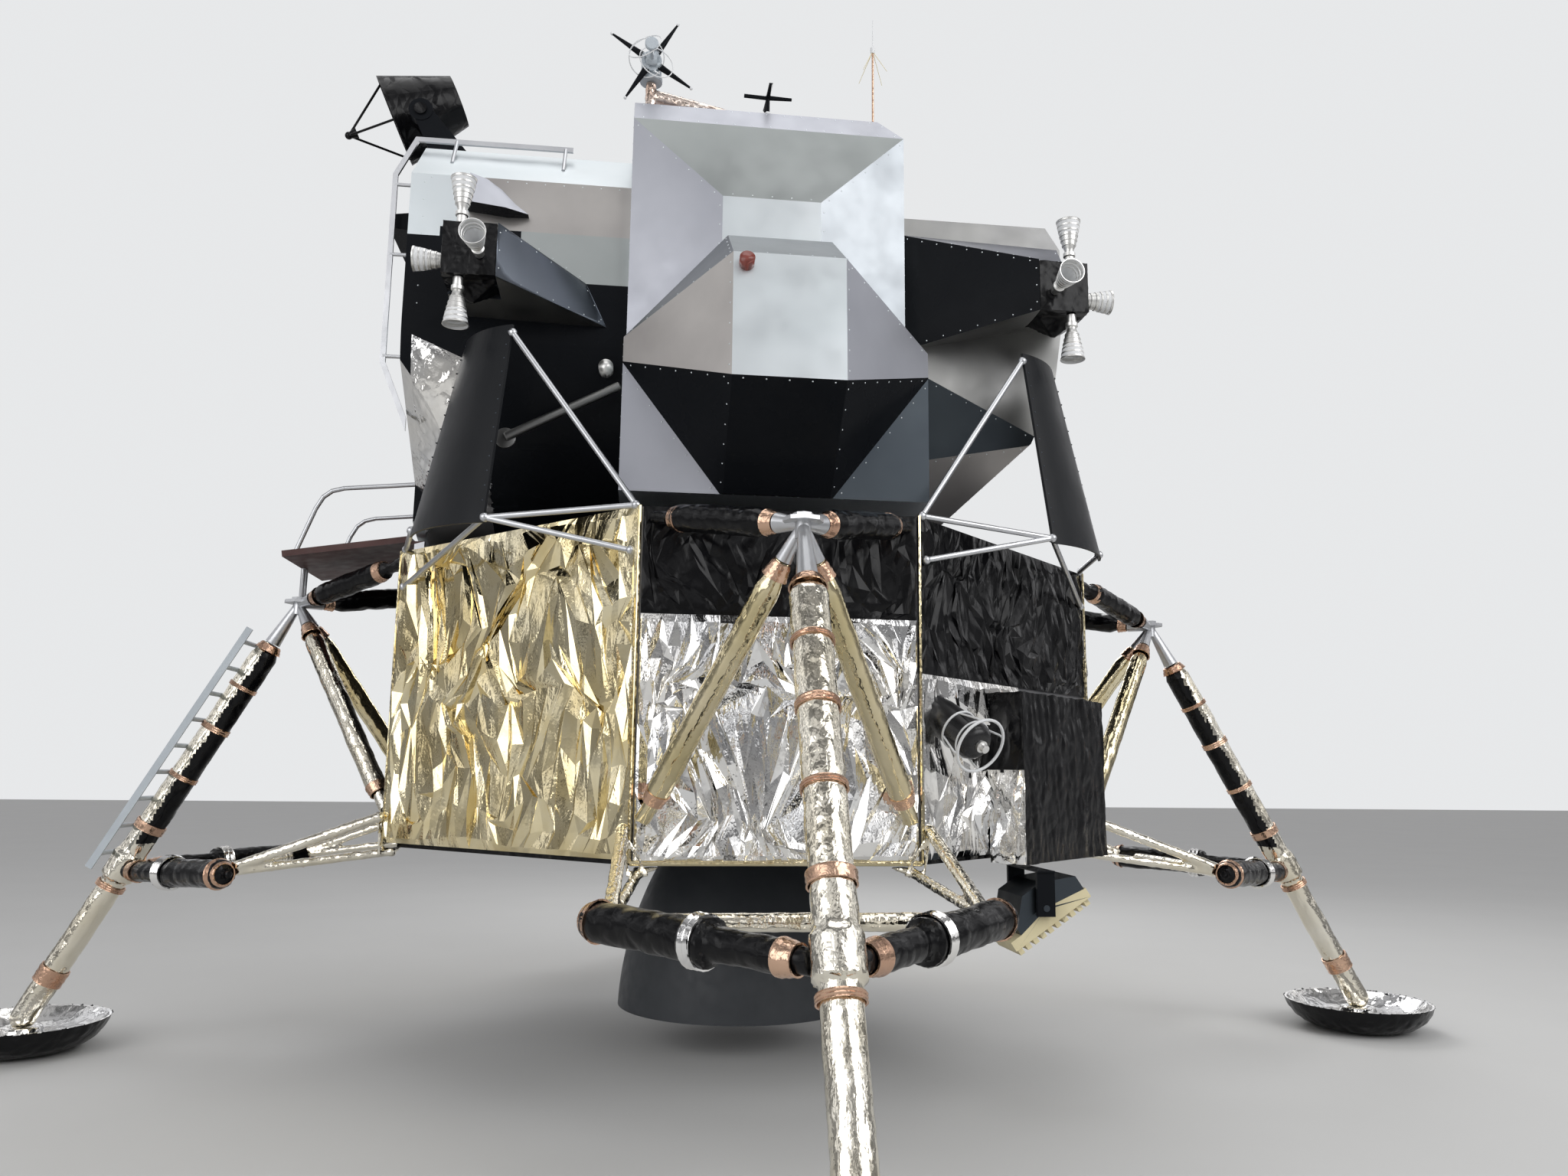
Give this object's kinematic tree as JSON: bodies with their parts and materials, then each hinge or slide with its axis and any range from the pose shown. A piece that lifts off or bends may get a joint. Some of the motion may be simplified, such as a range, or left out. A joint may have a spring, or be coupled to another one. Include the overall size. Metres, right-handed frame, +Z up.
{
  "type": "lunar lander",
  "caption": "Two-stage lunar lander on four braced legs with footpads, foil-covered lower stage, faceted crew stage, thruster clusters and aerials.",
  "frame": {"origin": "on the floor under the vehicle's centre", "axes": "+Z up, -Y forward to the ladder leg, +X to port"},
  "size_m": [9.42, 9.42, 6.4609],
  "materials": {
    "core_metal": "dull sheet",
    "gold_foil": "crumpled gold film",
    "silver_foil": "crumpled silver film",
    "black_foil": "wrinkled black blanket",
    "strut_foil": "wrapped silver film",
    "pad_foil": "crumpled film in a black dish",
    "bare_metal": "bare tube",
    "porch_board": "dark red board",
    "black_panel": "satin black sheet",
    "radar_cream": "cream plate",
    "engine_dark": "dark matt cone",
    "silver_panel": "satin sheet",
    "window_glass": "dark glass",
    "grey_panel": "grey sheet",
    "nozzle_metal": "turned metal",
    "grey_paint": "pale grey paint",
    "white_paint": "white paint",
    "red_lens": "dark red lens"
  },
  "bodies": {
    "vehicle": {"descent_core": "core_metal", "blankets_gold": "gold_foil", "blankets_silver": "silver_foil", "blankets_black": "black_foil", "heat_shield": "silver_foil", "leg_upper_tubes": "black_foil", "leg_lower_tubes": "gold_foil", "leg_apex_fittings": "bare_metal", "primary_struts": "strut_foil", "secondary_struts": "black_foil", "strut_trusses": "strut_foil", "strut_crossbars": "silver_foil", "footpads": "pad_foil", "ladder": "bare_metal", "porch": "porch_board", "porch_rails": "bare_metal", "bay_box": "black_foil", "fuel_cask": "black_panel", "landing_radar_mount": "bare_metal", "plume_deflectors": "black_panel", "deflector_trusses": "bare_metal", "cabin_shell_port": "silver_panel", "cabin_shell_starboard": "silver_panel", "cabin_face": "silver_panel", "window_panes": "window_glass", "cabin_floor": "core_metal", "midsection": "silver_panel", "docking_tunnel": "silver_panel", "tank_housing_port": "silver_panel", "tank_housing_starboard": "silver_panel", "aft_bay": "grey_panel", "thruster_fairings": "black_panel", "thruster_boxes": "black_foil", "thruster_nozzles": "nozzle_metal", "radar_pedestal": "black_panel", "antenna_boom": "silver_foil", "small_aerials": "black_panel", "handrails": "white_paint", "lights": "red_lens"},
    "hatch": {"forward_hatch": "silver_panel"},
    "gimbal": {"gimbal_ring": "bare_metal"},
    "engine": {"engine_chamber": "engine_dark", "engine_bell": "engine_dark"},
    "rendezvous_radar": {"radar_head": "black_foil"},
    "antenna_turntable": {"antenna_swivel": "grey_paint"},
    "antenna": {"antenna_head": "black_panel"},
    "landing_radar": {"landing_radar_antenna": "radar_cream"}
  },
  "joints": [
    {"name": "hatch_swing", "type": "hinge", "parent": "vehicle", "child": "hatch", "pos_m": [-0.44, -1.99, 3.565], "axis": [0, 0, 1], "range_deg": [0, 90]},
    {"name": "engine_roll_gimbal", "type": "hinge", "parent": "vehicle", "child": "gimbal", "pos_m": [0, 0, 1.88], "axis": [0, 1, 0], "range_deg": [-6, 6]},
    {"name": "engine_pitch_gimbal", "type": "hinge", "parent": "gimbal", "child": "engine", "pos_m": [0, 0, 1.88], "axis": [1, 0, 0], "range_deg": [-6, 6]},
    {"name": "radar_shaft", "type": "hinge", "parent": "vehicle", "child": "rendezvous_radar", "pos_m": [0, -2.23, 5.967], "axis": [1, 0, 0], "range_deg": [-90, 30]},
    {"name": "antenna_turn", "type": "hinge", "parent": "vehicle", "child": "antenna_turntable", "pos_m": [1.06, -0.72, 5.97], "axis": [0, 0, 1], "range_deg": [-60, 30]},
    {"name": "antenna_tilt", "type": "hinge", "parent": "antenna_turntable", "child": "antenna", "pos_m": [1.06, -0.72, 5.97], "axis": [0, 1, 0], "range_deg": [-85, 0]},
    {"name": "landing_radar_tilt", "type": "hinge", "parent": "vehicle", "child": "landing_radar", "pos_m": [1.75, 1.345, 1.015], "axis": [1, 0, 0], "range_deg": [-34, 0]}
  ]
}
